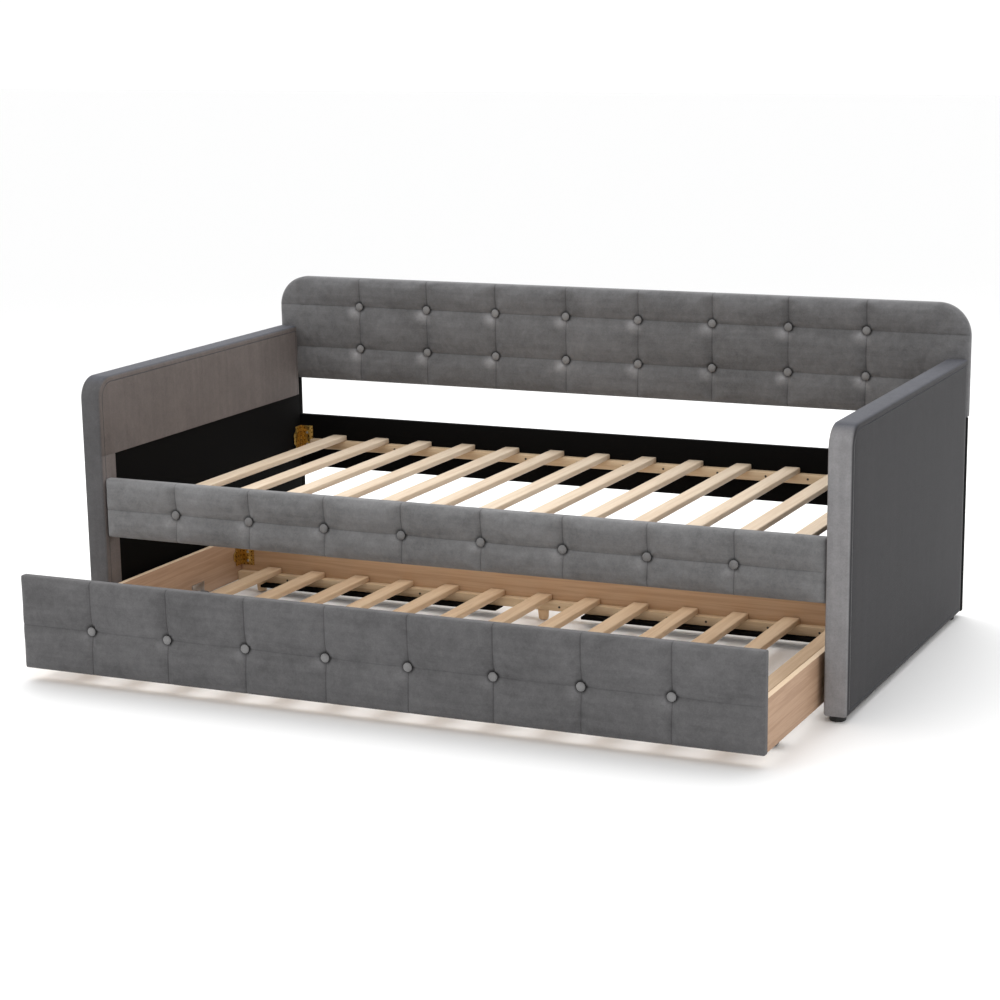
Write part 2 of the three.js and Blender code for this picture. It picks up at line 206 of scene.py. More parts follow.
def make_velvet_nap():
    """Cloth with a nap: broad clouds and small smears where the pile lies another way, faint
    brush streaks, and a fine pile for the bump."""
    group, given, out = new_group("velvet_nap", [
        ("Colour", COLOUR, (0.16, 0.16, 0.165, 1)),
        ("Cloud Size", FLOAT, 6.0),
        ("Cloud Depth", FLOAT, 0.16),
        ("Streak Depth", FLOAT, 0.12),
        ("Streak Scale", VECTOR, (90, 90, 3)),
    ], [("Colour", COLOUR), ("Roughness", FLOAT), ("Height", FLOAT)])
    place = add_node(group, "ShaderNodeTexCoord").outputs["Object"]
    brushed = stretch(group, place, given.outputs["Streak Scale"])
    clouds = noise(group, place, given.outputs["Cloud Size"], 5.0, 0.62, 0.35)
    smears = noise(group, place, 38.0, 6.0, 0.78, 0.3)
    streaks = noise(group, brushed, 1.0, 3.0, 0.6)
    specks = noise(group, place, 260.0, 2.0, 0.7)
    pile = noise(group, place, 620.0, 2.0, 0.6)

    contrast = 2.4
    gain = 1.0
    for pattern, depth in ((clouds, given.outputs["Cloud Depth"]),
                           (smears, given.outputs["Cloud Depth"]),
                           (streaks, given.outputs["Streak Depth"]), (specks, 0.16)):
        centred = calc(group, "SUBTRACT", pattern, 0.5)
        swing = calc(group, "MULTIPLY", centred, contrast)
        gain = calc(group, "MULTIPLY_ADD", swing, depth, gain)
    rough = calc(group, "MULTIPLY_ADD", clouds, 0.25, 0.62)
    height = calc(group, "MULTIPLY_ADD", clouds, 0.6, pile)
    group.links.new(brighten(group, given.outputs["Colour"], gain), out.inputs["Colour"])
    group.links.new(rough, out.inputs["Roughness"])
    group.links.new(height, out.inputs["Height"])
    return group


velvet_nap = make_velvet_nap()


def velvet(name, colour, streak_scale=(5, 5, 70), cloud=0.33, streak=0.16, sheen=0.14):
    """Grey velvet of one shade, brushed along the axis with the smallest streak scale."""
    mat, tree, shader = new_finish(name)
    nap = place_group(tree, velvet_nap, {
        "Colour": (*colour, 1), "Cloud Depth": cloud, "Streak Depth": streak,
        "Streak Scale": streak_scale})
    tree.links.new(nap.outputs["Colour"], shader.inputs["Base Color"])
    tree.links.new(nap.outputs["Roughness"], shader.inputs["Roughness"])
    raise_surface(tree, shader, nap.outputs["Height"], 0.35, 0.0012)
    shader.inputs["Sheen Weight"].default_value = sheen
    shader.inputs["Sheen Roughness"].default_value = 0.35
    shader.inputs["Sheen Tint"].default_value = (0.9, 0.9, 0.92, 1)
    shader.inputs["Specular IOR Level"].default_value = 0.12
    return mat, tree, nap


def select_edges(obj, test):
    """In edit mode, selects only the edges that pass the test."""
    bpy.context.tool_settings.mesh_select_mode = (False, True, False)
    bpy.ops.mesh.select_all(action="DESELECT")
    shape = bmesh.from_edit_mesh(obj.data)
    for edge in shape.edges:
        if test(edge):
            edge.select_set(True)
    bmesh.update_edit_mesh(obj.data)


def select_faces(obj, test):
    """In edit mode, selects only the faces that pass the test."""
    bpy.context.tool_settings.mesh_select_mode = (False, False, True)
    bpy.ops.mesh.select_all(action="DESELECT")
    shape = bmesh.from_edit_mesh(obj.data)
    for face in shape.faces:
        if test(face):
            face.select_set(True)
    bmesh.update_edit_mesh(obj.data)


def make_painted_facing_light():
    """Paints light and shade into an arm's velvet by face: the outer side, the inner side, the top
    and the front each get their own colour for how the light falls on them.
    """
    group, given, out = new_group("painted_facing_light", [
        ("Side", FLOAT, 1.0),
        ("Outer", COLOUR, (0.035, 0.034, 0.036, 1)),
        ("Inner", COLOUR, (0.130, 0.112, 0.106, 1)),
        ("Top", COLOUR, (0.072, 0.074, 0.086, 1)),
        ("Front", COLOUR, (0.300, 0.295, 0.300, 1)),
    ], [("Colour", COLOUR)])
    # Each face's colour is painted light and shade: the outer side darkest, the top bluish and
    # dark, the front lightest.
    facing = add_node(group, "ShaderNodeTexCoord").outputs["Normal"]
    parts = add_node(group, "ShaderNodeSeparateXYZ", {0: facing}).outputs
    outward = calc(group, "MULTIPLY", parts["X"], given.outputs["Side"])
    shade = given.outputs["Inner"]
    for amount, low_end, high_end, colour in (
            (outward, -0.5, 0.5, "Outer"),
            (parts["Z"], 0.35, 0.85, "Top"),
            (parts["Y"], -0.35, -0.85, "Front")):
        share = add_node(group, "ShaderNodeMapRange", {
            "Value": amount, "From Min": low_end, "From Max": high_end}).outputs[0]
        shade = blend_colours(group, share, shade, given.outputs[colour])
    group.links.new(shade, out.inputs["Colour"])
    return group


painted_facing_light = make_painted_facing_light()


# An arm's front colour is painted light and shade, set for each arm on its own.
def arm_velvet(name, side, front):
    mat, tree, nap = velvet(name, (0.1, 0.1, 0.1), (55, 55, 1.6), 0.22, 0.13, 0.07)
    shade = place_group(tree, painted_facing_light, {"Side": side, "Front": (*front, 1)})
    tree.links.new(shade.outputs["Colour"], nap.inputs["Colour"])
    return mat


def inset_side(obj, side, thickness, depth):
    """Insets the big face on one side of an arm."""
    bpy.ops.object.mode_set(mode="EDIT")
    select_faces(obj, lambda face: face.normal.x * side > 0.99 and face.calc_area() > 0.3)
    bpy.ops.mesh.inset(thickness=thickness, depth=depth)
    bpy.ops.object.mode_set(mode="OBJECT")


arm_corner = 0.058
arm_rim = 0.0085
arm_insets = (
    (0.0052, 0.0005),   # up to the seam
    (0.0010, -0.0016),  # down into it
    (0.0010, 0.0016),   # and out again
    (0.010, 0.0008),    # the padding's rise
    (0.020, 0.0006),
)
cross_seam_half = 0.0018
cross_seam_depth = 0.0013
lining_recess = 0.0032


def build_arm(side_name, side, front):
    node = f"{side_name}_arm_cover"
    low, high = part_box(node)
    lining_low, lining_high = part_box(f"{side_name}_arm_lining")
    size = high - low
    deselect()
    bpy.ops.mesh.primitive_cube_add(size=1, location=(low + high) / 2)
    arm = bpy.context.object
    arm.name = f"{side_name}_arm_velvet"
    arm.scale = size
    bpy.ops.object.transform_apply(location=True, rotation=True, scale=True)

    bpy.ops.object.mode_set(mode="EDIT")
    select_edges(arm, lambda edge: all(v.co.z > high.z - 0.001 for v in edge.verts)
                 and edge.verts[0].co.y < 0 and edge.verts[1].co.y < 0)
    bpy.ops.mesh.bevel(offset=arm_corner, segments=14, affect="EDGES")
    select_edges(arm, lambda edge: abs(edge.verts[0].co.x - edge.verts[1].co.x) < 0.001)
    bpy.ops.mesh.bevel(offset=arm_rim, segments=4, profile=0.55, affect="EDGES")
    bpy.ops.object.mode_set(mode="OBJECT")

    for outer in (1, -1):
        for thickness, depth in arm_insets:
            inset_side(arm, outer, thickness, depth)

    inner = low.x if side > 0 else high.x
    edge_line = lining_low.y
    top_line = lining_high.z
    bpy.ops.object.mode_set(mode="EDIT")
    for place, way in (((0, edge_line, 0), (0, 1, 0)),
                       ((0, 0, top_line - cross_seam_half), (0, 0, 1)),
                       ((0, 0, top_line), (0, 0, 1)),
                       ((0, 0, top_line + cross_seam_half), (0, 0, 1))):
        bpy.ops.mesh.select_all(action="SELECT")
        bpy.ops.mesh.bisect(plane_co=place, plane_no=way)
    select_faces(arm, lambda face: face.normal.x * side < -0.5
                 and face.calc_center_median().y > edge_line
                 and face.calc_center_median().z < top_line)
    bpy.ops.mesh.inset(thickness=0.0004, depth=0)
    shape = bmesh.from_edit_mesh(arm.data)
    for vertex in shape.verts:
        if vertex.select:
            vertex.co.x = inner + side * lining_recess
    for vertex in shape.verts:
        on_inner = (vertex.co.x - inner) * side < 0.004
        if on_inner and abs(vertex.co.z - top_line) < 0.0003 and vertex.co.y < edge_line:
            vertex.co.x += side * cross_seam_depth
    bmesh.update_edit_mesh(arm.data)
    bpy.ops.mesh.select_all(action="SELECT")
    bpy.ops.mesh.normals_make_consistent(inside=False)
    bpy.ops.object.mode_set(mode="OBJECT")
    deselect()
    arm.select_set(True)
    bpy.ops.object.shade_smooth_by_angle(angle=math.radians(42))
    arm.data.materials.append(arm_velvet(f"velvet_{side_name}_arm", side, front))
    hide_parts(node)
    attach(arm, "frame")


# The right arm's front is painted lighter and the left arm's front darker: painted light and shade
# on one velvet.
build_arm("right", 1, (0.235, 0.230, 0.235))
build_arm("left", -1, (0.088, 0.086, 0.088))


# ---- Arm linings --------------------------------------------------------------------------
# Thin black non-woven cloth pulled flat over the lower inner side of each arm, let in a
# little below the velvet and stapled under its edge.

def spotted_finish(name, colour, spot, scale, roughness, bump=0.2, metallic=0.0,
                   specular=0.3):
    """A finish with fine spots or specks in it: non-woven cloth, chipboard, cast metal."""
    mat, tree, shader = new_finish(name)
    place = add_node(tree, "ShaderNodeTexCoord").outputs["Object"]
    specks = noise(tree, place, scale, 3.0, 0.65)
    ramp = add_node(tree, "ShaderNodeValToRGB", {"Fac": specks})
    for element, position, tone in zip(ramp.color_ramp.elements, (0.35, 0.68), (colour, spot)):
        element.position = position
        element.color = (*tone, 1)
    tree.links.new(ramp.outputs["Color"], shader.inputs["Base Color"])
    rough = calc(tree, "MULTIPLY_ADD", specks, 0.2, roughness - 0.1)
    tree.links.new(rough, shader.inputs["Roughness"])
    shader.inputs["Metallic"].default_value = metallic
    shader.inputs["Specular IOR Level"].default_value = specular
    raise_surface(tree, shader, specks, bump, 0.0006)
    return mat


def eased_copy(node, name, body, mat, ease=0.0015, segments=2, smooth=35):
    """A copy of a drawn piece with its sharp edges eased by a small round."""
    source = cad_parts[node]
    piece = source.copy()
    piece.data = source.data.copy()
    bpy.context.scene.collection.objects.link(piece)
    piece.hide_render = False
    piece.hide_viewport = False
    for key in [key for key in piece.keys() if key.startswith("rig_")]:
        del piece[key]
    piece.parent = None
    piece.matrix_world = Matrix.Identity(4)
    piece.data.transform(source.matrix_world)
    piece.name = name
    piece.data.materials.clear()
    deselect()
    piece.select_set(True)
    bpy.context.view_layer.objects.active = piece
    bpy.ops.object.mode_set(mode="EDIT")
    bpy.ops.mesh.select_all(action="SELECT")
    bpy.ops.mesh.remove_doubles(threshold=0.00002)
    bpy.ops.mesh.dissolve_limited(angle_limit=math.radians(1))
    bpy.ops.mesh.select_all(action="DESELECT")
    bpy.context.tool_settings.mesh_select_mode = (False, True, False)
    bpy.ops.mesh.edges_select_sharp(sharpness=math.radians(40))
    bpy.ops.mesh.bevel(offset=ease, segments=segments, affect="EDGES", clamp_overlap=True)
    bpy.ops.object.mode_set(mode="OBJECT")
    bpy.ops.object.shade_smooth_by_angle(angle=math.radians(smooth))
    piece.data.materials.append(mat)
    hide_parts(node)
    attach(piece, body)
    return piece


lining_cloth = spotted_finish("lining_cloth", (0.0022, 0.0020, 0.0019), (0.0045, 0.0042, 0.0040),
                                900, 0.9, bump=0.35, specular=0.06)
for side_name in ("right", "left"):
    eased_copy(f"{side_name}_arm_lining", f"{side_name}_lining_panel", "frame", lining_cloth,
               0.0010)

# ---- Boards under the velvet --------------------------------------------------------------
# Chipboard slabs inside the arms, the backrest, the front rail and the trundle's face. The
# velvet is stapled over them, and only their raw lower edges can be seen.

raw_board = spotted_finish("raw_board", (0.30, 0.20, 0.11), (0.46, 0.33, 0.19), 240, 0.8)
for board in ("right_arm_frame", "left_arm_frame", "backrest_board", "front_rail",
              "trundle_front"):
    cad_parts[board].data.materials.clear()
    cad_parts[board].data.materials.append(raw_board)

# ---- Feet ---------------------------------------------------------------------------------
# Low round glides of black plastic, screwed under the two ends of each arm.

black_plastic = spotted_finish("black_plastic", (0.012, 0.012, 0.012), (0.018, 0.018, 0.018),
                                 500, 0.5, bump=0.1)
for corner in ("left_front", "right_front", "left_back", "right_back"):
    eased_copy(f"{corner}_foot", f"{corner}_glide", "frame", black_plastic,
               0.0016, 3)

# ---- Back rail and uprights ---------------------------------------------------------------
# A deep board covered in the same black cloth joins the arms at the back, and two black
# uprights behind the arms carry the backrest.

eased_copy("back_rail", "back_rail_board", "frame", lining_cloth, 0.0015)
for side_name in ("right", "left"):
    eased_copy(f"{side_name}_backrest_upright", f"{side_name}_upright_post", "frame",
               lining_cloth, 0.0015)

# ---- Bed slats and ledgers ----------------------------------------------------------------
# Thirteen planed pine slats with rounded edges rest on two pine ledgers, which are screwed
# to the rails from inside.

def make_board_grain():
    """Long grain and fine pores, stretched along the axis with the smallest scale."""
    group, given, out = new_group("board_grain", [
        ("Light", COLOUR, (0.7, 0.5, 0.3, 1)),
        ("Dark", COLOUR, (0.5, 0.33, 0.18, 1)),
        ("Grain Scale", VECTOR, (1, 10, 10)),
        ("Contrast", FLOAT, 0.5),
        ("Seed", FLOAT, 0.0),
    ], [("Colour", COLOUR), ("Roughness", FLOAT), ("Height", FLOAT)])
    place = add_node(group, "ShaderNodeTexCoord").outputs["Object"]
    moved = add_node(group, "ShaderNodeVectorMath", {0: place, 1: given.outputs["Seed"]},
                     operation="ADD").outputs[0]
    along = stretch(group, moved, given.outputs["Grain Scale"])
    rings = noise(group, along, 1.0, 4.0, 0.6, 0.6)
    lines = calc(group, "PINGPONG", calc(group, "MULTIPLY", rings, 7.0), 1.0)
    pores = noise(group, brighten(group, along, 9.0), 1.0, 2.0, 0.7)
    both = calc(group, "MULTIPLY_ADD", pores, 0.45, calc(group, "MULTIPLY", lines, 0.55))
    amount = calc(group, "MULTIPLY", both, given.outputs["Contrast"])
    colour = blend_colours(group, amount, given.outputs["Light"], given.outputs["Dark"])
    group.links.new(colour, out.inputs["Colour"])
    group.links.new(calc(group, "MULTIPLY_ADD", pores, 0.2, 0.45), out.inputs["Roughness"])
    group.links.new(both, out.inputs["Height"])
    return group


board_grain = make_board_grain()


def wood(name, light, dark, grain_scale, contrast=0.5, seed=0.0, bump=0.18):
    mat, tree, shader = new_finish(name)
    grain = place_group(tree, board_grain, {
        "Light": (*light, 1), "Dark": (*dark, 1), "Grain Scale": grain_scale,
        "Contrast": contrast, "Seed": seed})
    tree.links.new(grain.outputs["Colour"], shader.inputs["Base Color"])
    tree.links.new(grain.outputs["Roughness"], shader.inputs["Roughness"])
    raise_surface(tree, shader, grain.outputs["Height"], bump, 0.0006)
    shader.inputs["Specular IOR Level"].default_value = 0.3
    return mat


pine_across = wood("pine_across", (0.68, 0.565, 0.435), (0.48, 0.345, 0.225), (40, 1.8, 40), 0.7)
pine_along = wood("pine_along", (0.68, 0.52, 0.345), (0.48, 0.32, 0.18), (1.8, 40, 40), 0.7,
                  seed=3.0)
for number in range(1, 14):
    eased_copy(f"bed_slat_{number}", f"bed_slat_board_{number}", "frame", pine_across,
               0.0034, 4)
for end in ("front", "back"):
    eased_copy(f"{end}_ledger", f"{end}_ledger_board", "frame", pine_along, 0.0016)

dark_steel = spotted_finish("dark_steel", (0.05, 0.045, 0.04), (0.09, 0.08, 0.07), 700, 0.42,
                              metallic=1.0)


def screw(name, place, way, radius, height, mat, body, finish):
    """A pan-head screw: a disc with its top edge rounded and a socket sunk in it."""
    deselect()
    bpy.ops.mesh.primitive_cylinder_add(vertices=20, radius=radius, depth=height,
                                        end_fill_type="NGON", location=(0, 0, height / 2))
    head = bpy.context.object
    head.name = name
    bpy.ops.object.transform_apply(location=True, rotation=True, scale=True)
    bpy.ops.object.mode_set(mode="EDIT")
    select_faces(head, lambda face: face.normal.z > 0.9)
    bpy.ops.mesh.inset(thickness=radius * 0.25, depth=height * 0.25)
    bpy.ops.mesh.inset(thickness=radius * 0.30, depth=height * 0.08)
    bpy.ops.mesh.inset(thickness=radius * 0.05, depth=-height * 0.5)
    bpy.ops.object.mode_set(mode="OBJECT")
    turn = Vector(way).to_track_quat("Z", "Y").to_matrix().to_4x4()
    head.data.transform(Matrix.Translation(place) @ turn)
    head.data.materials.append(mat)
    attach(head, body)
    return head


back_ledger_low, back_ledger_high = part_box("back_ledger")
bed_pitch = 0.142
sunk = 0.0003
ledger_screw = (0.0032, 0.0010)
for gap in range(12):
    middle_x = (gap - 5.5) * bed_pitch
    spots = (middle_x - 0.020, middle_x + 0.022) if gap % 3 == 1 else (middle_x,)
    for count, x in enumerate(spots):
        screw(f"back_ledger_screw_{gap + 1}_{count + 1}",
              (x, back_ledger_low.y + sunk, back_ledger_low.z + 0.014), (0, -1, 0),
              *ledger_screw, dark_steel, "frame", "zinc_steel")

# ---- Bed brackets -------------------------------------------------------------------------
# Folded steel corner plates with a yellow zinc finish tie each rail to an arm. Their faces are
# punched with small holes, and two pan-head screws hold the leaf on the rail.

def make_punched_holes():
    """Rows of small round holes, painted dark on the faces of a plate that stands upright: painted
    shade in place of cut holes.
    """
    group, given, out = new_group("punched_holes", [
        ("Pitch", FLOAT, 0.0125),
        ("Radius", FLOAT, 0.0021),
    ], [("Hole", FLOAT)])
    coords = add_node(group, "ShaderNodeTexCoord").outputs
    parts = add_node(group, "ShaderNodeSeparateXYZ", {0: coords["Object"]}).outputs
    facing = add_node(group, "ShaderNodeSeparateXYZ", {0: coords["Normal"]}).outputs
    half = calc(group, "MULTIPLY", given.outputs["Pitch"], 0.5)
    less = calc(group, "MULTIPLY", half, -1.0)
    off_x, off_y, off_z = (calc(group, "WRAP", parts[axis], half, less) for axis in "XYZ")
    to_arm, to_rail = (
        calc(group, "GREATER_THAN", calc(group, "ABSOLUTE", facing[axis]), 0.6)
        for axis in "XY")
    aside = calc(group, "ADD", calc(group, "MULTIPLY", off_y, to_arm),
                 calc(group, "MULTIPLY", off_x, to_rail))
    away = calc(group, "SQRT", calc(group, "ADD", calc(group, "MULTIPLY", aside, aside),
                                    calc(group, "MULTIPLY", off_z, off_z)))
    hole = calc(group, "LESS_THAN", away, given.outputs["Radius"])
    upright = calc(group, "MAXIMUM", to_arm, to_rail)
    group.links.new(calc(group, "MULTIPLY", hole, upright), out.inputs["Hole"])
    return group


def plated(name, light, dark, roughness):
    return spotted_finish(name, light, dark, 260, roughness, bump=0.08, metallic=1.0)


yellow_zinc = plated("yellow_zinc", (0.36, 0.21, 0.045), (0.78, 0.53, 0.17), 0.34)
zinc_tree = yellow_zinc.node_tree
zinc_base = zinc_tree.nodes["Principled BSDF"].inputs["Base Color"]
# The holes are painted nearly black in the zinc's colour: painted shade where holes would be.
punched = place_group(zinc_tree, make_punched_holes(), {})
unpunched = calc(zinc_tree, "MULTIPLY_ADD", punched.outputs["Hole"], -0.93, 1.0)
zinc_tree.links.new(brighten(zinc_tree, zinc_base.links[0].from_socket, unpunched), zinc_base)
bright_zinc = plated("bright_zinc", (0.45, 0.45, 0.46), (0.60, 0.60, 0.60), 0.38)

bracket_leaf = 0.043
plate_thickness = 0.0025


def dress_bracket(node, body, side, front):
    """Eases a bracket's edges and puts its screws in: side is its arm, front its rail."""
    low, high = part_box(node)
    eased_copy(node, f"{node}_plate", body, yellow_zinc, 0.0004, 1)
    tall = high.z - low.z
    rail_face = low.y + plate_thickness if front else high.y - plate_thickness
    across = 0.55 * bracket_leaf
    x = high.x - across if side > 0 else low.x + across
    for count, share in enumerate((0.24, 0.72)):
        screw(f"{node}_rail_screw_{count + 1}", (x, rail_face, low.z + tall * share),
              (0, 1 if front else -1, 0), 0.0042, 0.0016, bright_zinc, body, "zinc_steel")


for side_name, side in (("left", -1), ("right", 1)):
    for end in ("front", "back"):
        dress_bracket(f"bed_bracket_{side_name}_{end}", "frame", side, end == "front")

# ---- Backrest -----------------------------------------------------------------------------
# A board with padding and velvet over it. The velvet is pieced from squares, so a seam runs
# down each column of buttons and along each row, and every button is drawn in to the board.

def make_painted_tuft_light():
    """Where a tufted panel's painted shade and highlight lie: painted shade along its seams and in
    the creases round its buttons, and a painted highlight below and to the left of each button.
    Eight columns of buttons at one pitch, in one or two rows."""
    group, given, out = new_group("painted_tuft_light", [
        ("Pitch", FLOAT, 0.22),
        ("Middle", FLOAT, -0.006),
        ("Upper Row", FLOAT, 0.5),
        ("Lower Row", FLOAT, 0.5),
    ], [("Seam", FLOAT), ("Crease", FLOAT), ("Fan", FLOAT)])

    def fade(value, start, stop):
        return add_node(group, "ShaderNodeMapRange", {
            "Value": value, "From Min": start, "From Max": stop, "To Min": 1.0,
            "To Max": 0.0}, interpolation_type="SMOOTHSTEP").outputs[0]

    place = add_node(group, "ShaderNodeTexCoord").outputs["Object"]
    wavy = calc(group, "MULTIPLY_ADD", noise(group, place, 22.0, 2.0, 0.5), 0.0030, -0.0015)
    parts = add_node(group, "ShaderNodeSeparateXYZ", {0: place})
    along = calc(group, "SUBTRACT", parts.outputs["X"], given.outputs["Middle"])
    half = calc(group, "MULTIPLY", given.outputs["Pitch"], 0.5)
    shifted = calc(group, "ADD", along, half)
    across = calc(group, "WRAP", shifted, half, calc(group, "MULTIPLY", half, -1.0))
    inside = calc(group, "LESS_THAN", calc(group, "ABSOLUTE", along),
                  calc(group, "MULTIPLY", given.outputs["Pitch"], 4.0))
    to_upper = calc(group, "SUBTRACT", parts.outputs["Z"], given.outputs["Upper Row"])
    to_lower = calc(group, "SUBTRACT", parts.outputs["Z"], given.outputs["Lower Row"])
    upper_wins = calc(group, "LESS_THAN", calc(group, "ABSOLUTE", to_upper),
                      calc(group, "ABSOLUTE", to_lower))
    apart = calc(group, "SUBTRACT", to_upper, to_lower)
    above = calc(group, "MULTIPLY_ADD", apart, upper_wins, to_lower)
    upright = fade(calc(group, "ABSOLUTE", calc(group, "ADD", across, wavy)), 0.0005, 0.0024)
    level = fade(calc(group, "ABSOLUTE", calc(group, "ADD", above, wavy)), 0.0004, 0.0019)
    stitched = calc(group, "MAXIMUM", calc(group, "MULTIPLY", upright, inside),
                    calc(group, "MULTIPLY", level, 0.50))
    away = calc(group, "SQRT", calc(group, "ADD", calc(group, "MULTIPLY", across, across),
                             calc(group, "MULTIPLY", above, above)))
    close = calc(group, "MULTIPLY", fade(away, 0.011, 0.0200), inside)
    downhill = calc(group, "MULTIPLY_ADD", across, -0.55, calc(group, "MULTIPLY", above, -0.83))
    lean = calc(group, "DIVIDE", downhill, calc(group, "MAXIMUM", away, 0.001))
    lean = calc(group, "POWER", calc(group, "MAXIMUM", lean, 0.0), 2.5)
    reach = calc(group, "MULTIPLY", fade(away, 0.014, 0.052), inside)
    group.links.new(stitched, out.inputs["Seam"])
    group.links.new(close, out.inputs["Crease"])
    group.links.new(calc(group, "MULTIPLY", lean, reach), out.inputs["Fan"])
    return group


painted_tuft_light = make_painted_tuft_light()


def panel_velvet(name, colour, pitch, middle, rows, painted_highlight):
    """The panel velvet, with painted shade in its seams and creases and a painted highlight below
    each button.
    """
    mat, tree, nap = velvet(name, colour)
    tufts = place_group(tree, painted_tuft_light, {
        "Pitch": pitch, "Middle": middle, "Upper Row": rows[0], "Lower Row": rows[-1]})
    # The seams and the creases round the buttons are darkened as painted shade, and the fan below
    # each button is lightened as a painted highlight.
    seam = calc(tree, "MULTIPLY_ADD", tufts.outputs["Seam"], -0.26, 1.0)
    crease = calc(tree, "MULTIPLY_ADD", tufts.outputs["Crease"], -0.55, 1.0)
    highlight_gain = calc(tree, "MULTIPLY_ADD", tufts.outputs["Fan"], painted_highlight, 1.0)
    gain = calc(tree, "MULTIPLY", calc(tree, "MULTIPLY", seam, crease), highlight_gain)
    base = tree.nodes["Principled BSDF"].inputs["Base Color"]
    tree.links.new(brighten(tree, nap.outputs["Colour"], gain), base)
    return mat


seam_depth = 0.0022
seam_reach = 0.0080
stitch_depth = 0.0011
stitch_reach = 0.0018
pillow_rise = 0.0055
pillow_reach = 0.032
button_sink = 0.0105
button_reach = 0.018
pleat_depth = 0.0030
pleat_reach = 0.016
deepest = 0.0088
seam_lines = (-0.0022, 0, 0.0022)
edge_round = 0.009


def bump_at(distance, reach):
    return math.exp(-(distance / reach) ** 2)


def tufted_surface(across, up_from, columns, rows, low, high):
    """How far the velvet stands off the board's padding at a place on a tufted panel: pillows
    between the seams, a groove at each seam and a pucker at each button."""
    to_column = min(abs(across - x) for x in columns)
    to_row = min(abs(up_from - z) for z in rows)
    to_edge = min(across - low[0], high[0] - across, up_from - low[2], high[2] - up_from)
    nearest = min(to_column, to_row * 1.6, max(to_edge, 0))
    rise = pillow_rise * (1 - math.exp(-nearest / pillow_reach))
    rise -= seam_depth * bump_at(to_column, seam_reach)
    rise -= 0.55 * seam_depth * bump_at(to_row, seam_reach * 0.8)
    for x in columns:
        for z in rows:
            reach_x = across - x
            reach_z = up_from - z
            away = math.hypot(reach_x, reach_z)
            if away < 0.09:
                angle = math.atan2(reach_z, reach_x)
                pull = 1 + 0.45 * math.cos(4 * angle) + 0.18 * math.cos(7 * angle + 9 * x)
                rise -= button_sink * math.exp(-(away / (button_reach * pull)) ** 1.3)
    return rise


def fine_creases(across, up_from, columns, rows):
    """The stitched line down each seam and the four short pleats at each button."""
    to_column = min(abs(across - x) for x in columns)
    to_row = min(abs(up_from - z) for z in rows)
    sink = stitch_depth * bump_at(to_column, stitch_reach)
    sink = max(sink, 0.45 * stitch_depth * bump_at(to_row, stitch_reach))
    if math.hypot(to_column, to_row) > 0.06:
        return sink
    column = min(columns, key=lambda x: abs(across - x))
    row = min(rows, key=lambda z: abs(up_from - z))
    reach_x, reach_z = across - column, up_from - row
    away = math.hypot(reach_x, reach_z)
    turn = 0.22 * math.sin(37 * column + 11 * row)
    angle = math.atan2(reach_z, reach_x) + turn
    fold = abs(math.sin(2 * angle)) ** 6
    fade = math.exp(-(max(away - 0.012, 0) / pleat_reach) ** 1.4)
    small = abs(math.sin(4.5 * angle + 60 * column)) ** 4
    return sink + (pleat_depth * fold + 0.3 * pleat_depth * small) * fade


def corner_in(x, z, low, high, radius):
    """Draws a square top corner in to a round one of that radius."""
    if radius <= 0 or z < high[2] - radius:
        return x, z
    for side in (-1, 1):
        centre_x = (high[0] if side > 0 else low[0]) - side * radius
        reach_x = (x - centre_x) * side
        reach_z = z - (high[2] - radius)
        if reach_x > 0 and reach_z > 0:
            length = math.hypot(reach_x, reach_z)
            share = max(reach_x, reach_z) / length
            return centre_x + side * reach_x * share, high[2] - radius + reach_z * share
    return x, z


def apply_modifier(obj, modifier):
    deselect()
    bpy.context.view_layer.objects.active = obj
    obj.select_set(True)
    bpy.ops.object.modifier_apply(modifier=modifier.name)


def settle_cloth(obj, held, pressure, most, frames=14):
    """Blows the cloth gently against its held points, then keeps each point within a cap of
    where it started."""
    start = [v.co.copy() for v in obj.data.vertices]
    pins = obj.vertex_groups.new(name="held")
    for index, weight in enumerate(held):
        if weight > 0:
            pins.add([index], weight, "REPLACE")
    cloth = obj.modifiers.new("cloth", "CLOTH")
    cloth.settings.quality = 5
    cloth.settings.mass = 0.3
    cloth.settings.tension_stiffness = 12
    cloth.settings.compression_stiffness = 12
    cloth.settings.shear_stiffness = 4
    cloth.settings.bending_stiffness = 0.4
    cloth.settings.vertex_group_mass = "held"
    cloth.settings.pin_stiffness = 1.0
    cloth.settings.shrink_min = -0.012
    cloth.settings.use_pressure = True
    cloth.settings.uniform_pressure_force = pressure
    cloth.settings.effector_weights.gravity = 0
    cloth.point_cache.frame_start = 1
    cloth.point_cache.frame_end = frames
    for number in range(1, frames + 1):
        bpy.context.scene.frame_set(number)
    apply_modifier(obj, cloth)
    bpy.context.scene.frame_set(1)
    for vertex, was in zip(obj.data.vertices, start):
        moved = vertex.co - was
        if moved.length > most:
            vertex.co = was + moved * (most / moved.length)
    obj.vertex_groups.clear()


